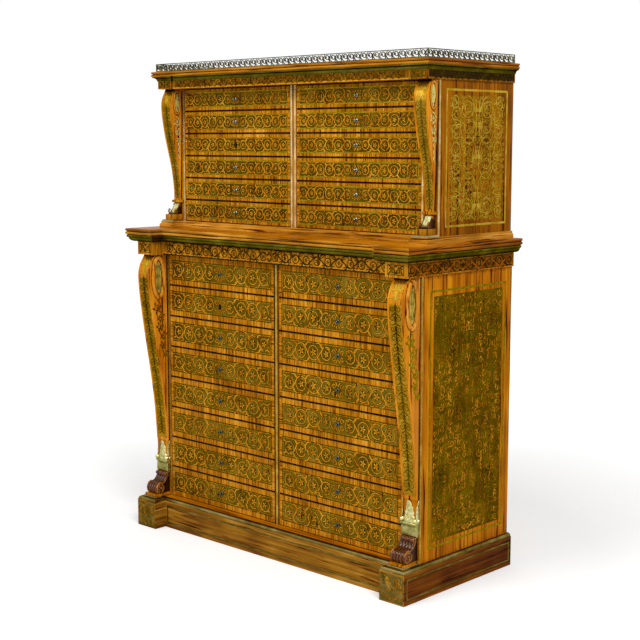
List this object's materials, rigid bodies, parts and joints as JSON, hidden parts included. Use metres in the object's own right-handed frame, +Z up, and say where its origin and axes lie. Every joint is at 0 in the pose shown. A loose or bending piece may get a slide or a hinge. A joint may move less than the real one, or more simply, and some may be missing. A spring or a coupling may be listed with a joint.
{
  "type": "collectors cabinet",
  "caption": "Two-stage breakfront rosewood cabinet of shallow drawers with brass inlay, scroll consoles, brass mouldings and a pierced gallery, for keeping a collection.",
  "frame": {"origin": "middle of the footprint, on the floor", "axes": "+Z up, the drawers open along -Y, +X to the right of someone facing the drawers"},
  "size_m": [1.192, 0.52, 1.515],
  "materials": {
    "rosewood": "french polished, warm satin gloss",
    "brass": "aged polished brass",
    "gilt_brass": "pale gilt brass, chased",
    "carved_rosewood": "dark carved, waxed",
    "lining_wood": "plain planed secondary wood",
    "steel": "turned and polished"
  },
  "bodies": {
    "cabinet": {"plinth_boards": "rosewood", "plinth_corner_blocks": "rosewood", "lower_bottom_board": "rosewood", "lower_sides": "rosewood", "lower_stiles": "rosewood", "lower_centre_partition": "rosewood", "lower_frieze": "rosewood", "waist_slab": "rosewood", "lower_consoles": "rosewood", "upper_base_moulding": "rosewood", "upper_sides": "rosewood", "upper_stiles": "rosewood", "upper_centre_partition": "rosewood", "upper_frieze": "rosewood", "cornice_slab": "rosewood", "upper_consoles": "rosewood", "plinth_brass_moulding": "brass", "lower_brass_strips": "brass", "waist_brass_moulding": "brass", "upper_brass_strips": "brass", "cornice_brass_moulding": "brass", "gallery": "brass", "console_base_plates": "brass", "console_leaf_caps": "gilt_brass", "console_scroll_feet": "carved_rosewood", "upper_console_feet": "carved_rosewood", "lower_dustboards": "lining_wood", "lower_back_panel": "lining_wood", "upper_dustboards": "lining_wood", "upper_back_panel": "lining_wood"},
    "lower_drawer_left_1": {"lower_drawer_left_1": "rosewood"},
    "lower_drawer_left_2": {"lower_drawer_left_2": "rosewood"},
    "lower_lock_bolt": {"lower_lock_bolt": "steel"},
    "lower_drawer_left_3": {"lower_drawer_left_3": "rosewood"},
    "lower_drawer_left_4": {"lower_drawer_left_4": "rosewood"},
    "lower_drawer_left_5": {"lower_drawer_left_5": "rosewood"},
    "lower_drawer_left_6": {"lower_drawer_left_6": "rosewood"},
    "lower_drawer_left_7": {"lower_drawer_left_7": "rosewood"},
    "lower_drawer_left_8": {"lower_drawer_left_8": "rosewood"},
    "lower_drawer_right_1": {"lower_drawer_right_1": "rosewood"},
    "lower_drawer_right_2": {"lower_drawer_right_2": "rosewood"},
    "lower_drawer_right_3": {"lower_drawer_right_3": "rosewood"},
    "lower_drawer_right_4": {"lower_drawer_right_4": "rosewood"},
    "lower_drawer_right_5": {"lower_drawer_right_5": "rosewood"},
    "lower_drawer_right_6": {"lower_drawer_right_6": "rosewood"},
    "lower_drawer_right_7": {"lower_drawer_right_7": "rosewood"},
    "lower_drawer_right_8": {"lower_drawer_right_8": "rosewood"},
    "upper_drawer_left_1": {"upper_drawer_left_1": "rosewood"},
    "upper_drawer_left_2": {"upper_drawer_left_2": "rosewood"},
    "upper_drawer_left_3": {"upper_drawer_left_3": "rosewood"},
    "upper_lock_bolt": {"upper_lock_bolt": "steel"},
    "upper_drawer_left_4": {"upper_drawer_left_4": "rosewood"},
    "upper_drawer_left_5": {"upper_drawer_left_5": "rosewood"},
    "upper_drawer_left_6": {"upper_drawer_left_6": "rosewood"},
    "upper_drawer_right_1": {"upper_drawer_right_1": "rosewood"},
    "upper_drawer_right_2": {"upper_drawer_right_2": "rosewood"},
    "upper_drawer_right_3": {"upper_drawer_right_3": "rosewood"},
    "upper_drawer_right_4": {"upper_drawer_right_4": "rosewood"},
    "upper_drawer_right_5": {"upper_drawer_right_5": "rosewood"},
    "upper_drawer_right_6": {"upper_drawer_right_6": "rosewood"}
  },
  "joints": [
    {"name": "lower_drawer_left_1_slide", "type": "slide", "parent": "cabinet", "child": "lower_drawer_left_1", "axis": [0, -1, 0], "range_m": [0, 0.3]},
    {"name": "lower_drawer_left_2_slide", "type": "slide", "parent": "cabinet", "child": "lower_drawer_left_2", "axis": [0, -1, 0], "range_m": [0, 0.3]},
    {"name": "lower_lock_bolt_throw", "type": "slide", "parent": "lower_drawer_left_2", "child": "lower_lock_bolt", "axis": [0, 0, 1], "range_m": [0, 0.006]},
    {"name": "lower_drawer_left_3_slide", "type": "slide", "parent": "cabinet", "child": "lower_drawer_left_3", "axis": [0, -1, 0], "range_m": [0, 0.3]},
    {"name": "lower_drawer_left_4_slide", "type": "slide", "parent": "cabinet", "child": "lower_drawer_left_4", "axis": [0, -1, 0], "range_m": [0, 0.3]},
    {"name": "lower_drawer_left_5_slide", "type": "slide", "parent": "cabinet", "child": "lower_drawer_left_5", "axis": [0, -1, 0], "range_m": [0, 0.3]},
    {"name": "lower_drawer_left_6_slide", "type": "slide", "parent": "cabinet", "child": "lower_drawer_left_6", "axis": [0, -1, 0], "range_m": [0, 0.3]},
    {"name": "lower_drawer_left_7_slide", "type": "slide", "parent": "cabinet", "child": "lower_drawer_left_7", "axis": [0, -1, 0], "range_m": [0, 0.3]},
    {"name": "lower_drawer_left_8_slide", "type": "slide", "parent": "cabinet", "child": "lower_drawer_left_8", "axis": [0, -1, 0], "range_m": [0, 0.3]},
    {"name": "lower_drawer_right_1_slide", "type": "slide", "parent": "cabinet", "child": "lower_drawer_right_1", "axis": [0, -1, 0], "range_m": [0, 0.3]},
    {"name": "lower_drawer_right_2_slide", "type": "slide", "parent": "cabinet", "child": "lower_drawer_right_2", "axis": [0, -1, 0], "range_m": [0, 0.3]},
    {"name": "lower_drawer_right_3_slide", "type": "slide", "parent": "cabinet", "child": "lower_drawer_right_3", "axis": [0, -1, 0], "range_m": [0, 0.3]},
    {"name": "lower_drawer_right_4_slide", "type": "slide", "parent": "cabinet", "child": "lower_drawer_right_4", "axis": [0, -1, 0], "range_m": [0, 0.3]},
    {"name": "lower_drawer_right_5_slide", "type": "slide", "parent": "cabinet", "child": "lower_drawer_right_5", "axis": [0, -1, 0], "range_m": [0, 0.3]},
    {"name": "lower_drawer_right_6_slide", "type": "slide", "parent": "cabinet", "child": "lower_drawer_right_6", "axis": [0, -1, 0], "range_m": [0, 0.3]},
    {"name": "lower_drawer_right_7_slide", "type": "slide", "parent": "cabinet", "child": "lower_drawer_right_7", "axis": [0, -1, 0], "range_m": [0, 0.3]},
    {"name": "lower_drawer_right_8_slide", "type": "slide", "parent": "cabinet", "child": "lower_drawer_right_8", "axis": [0, -1, 0], "range_m": [0, 0.3]},
    {"name": "upper_drawer_left_1_slide", "type": "slide", "parent": "cabinet", "child": "upper_drawer_left_1", "axis": [0, -1, 0], "range_m": [0, 0.24]},
    {"name": "upper_drawer_left_2_slide", "type": "slide", "parent": "cabinet", "child": "upper_drawer_left_2", "axis": [0, -1, 0], "range_m": [0, 0.24]},
    {"name": "upper_drawer_left_3_slide", "type": "slide", "parent": "cabinet", "child": "upper_drawer_left_3", "axis": [0, -1, 0], "range_m": [0, 0.24]},
    {"name": "upper_lock_bolt_throw", "type": "slide", "parent": "upper_drawer_left_3", "child": "upper_lock_bolt", "axis": [0, 0, 1], "range_m": [0, 0.006]},
    {"name": "upper_drawer_left_4_slide", "type": "slide", "parent": "cabinet", "child": "upper_drawer_left_4", "axis": [0, -1, 0], "range_m": [0, 0.24]},
    {"name": "upper_drawer_left_5_slide", "type": "slide", "parent": "cabinet", "child": "upper_drawer_left_5", "axis": [0, -1, 0], "range_m": [0, 0.24]},
    {"name": "upper_drawer_left_6_slide", "type": "slide", "parent": "cabinet", "child": "upper_drawer_left_6", "axis": [0, -1, 0], "range_m": [0, 0.24]},
    {"name": "upper_drawer_right_1_slide", "type": "slide", "parent": "cabinet", "child": "upper_drawer_right_1", "axis": [0, -1, 0], "range_m": [0, 0.24]},
    {"name": "upper_drawer_right_2_slide", "type": "slide", "parent": "cabinet", "child": "upper_drawer_right_2", "axis": [0, -1, 0], "range_m": [0, 0.24]},
    {"name": "upper_drawer_right_3_slide", "type": "slide", "parent": "cabinet", "child": "upper_drawer_right_3", "axis": [0, -1, 0], "range_m": [0, 0.24]},
    {"name": "upper_drawer_right_4_slide", "type": "slide", "parent": "cabinet", "child": "upper_drawer_right_4", "axis": [0, -1, 0], "range_m": [0, 0.24]},
    {"name": "upper_drawer_right_5_slide", "type": "slide", "parent": "cabinet", "child": "upper_drawer_right_5", "axis": [0, -1, 0], "range_m": [0, 0.24]},
    {"name": "upper_drawer_right_6_slide", "type": "slide", "parent": "cabinet", "child": "upper_drawer_right_6", "axis": [0, -1, 0], "range_m": [0, 0.24]}
  ]
}
